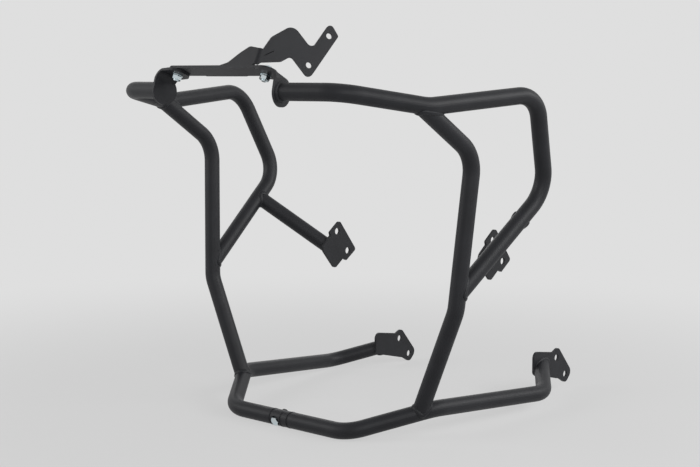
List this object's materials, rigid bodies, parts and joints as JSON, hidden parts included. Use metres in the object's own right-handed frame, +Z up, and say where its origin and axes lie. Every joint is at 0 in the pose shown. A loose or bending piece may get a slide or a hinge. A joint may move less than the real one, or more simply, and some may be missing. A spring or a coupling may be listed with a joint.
{
  "type": "motorcycle crash bars",
  "caption": "Black tubular crash bars in two mirrored halves that wrap a motorcycle's engine, joined at a lower tube and a folded top bracket and bolted on by flat plates.",
  "frame": {"origin": "on the axis of the lower cross tube, in the bike's centre plane", "axes": "+X forward, +Y to the rider's left along the lower cross tube, +Z up"},
  "size_m": [0.6734, 0.6352, 0.606],
  "materials": {
    "powder_coat": "matt black powder coat with a fine texture on steel",
    "zinc": "bright zinc plate"
  },
  "bodies": {
    "root": {"left_hoop_tube": "powder_coat", "left_down_tube": "powder_coat", "left_lower_tube": "powder_coat", "left_side_stub": "powder_coat", "left_end_plate": "powder_coat", "left_side_plate": "powder_coat", "left_rear_plate": "powder_coat", "left_joint_plug": "powder_coat", "right_hoop_tube": "powder_coat", "right_down_tube": "powder_coat", "right_lower_tube": "powder_coat", "right_side_stub": "powder_coat", "right_end_plate": "powder_coat", "right_side_plate": "powder_coat", "right_rear_plate": "powder_coat", "right_joint_plug": "powder_coat", "top_bracket": "powder_coat", "bracket_bolts": "zinc", "bracket_washers": "zinc", "bracket_nuts": "zinc", "joint_bolt": "zinc", "joint_nut": "zinc"}
  },
  "joints": []
}
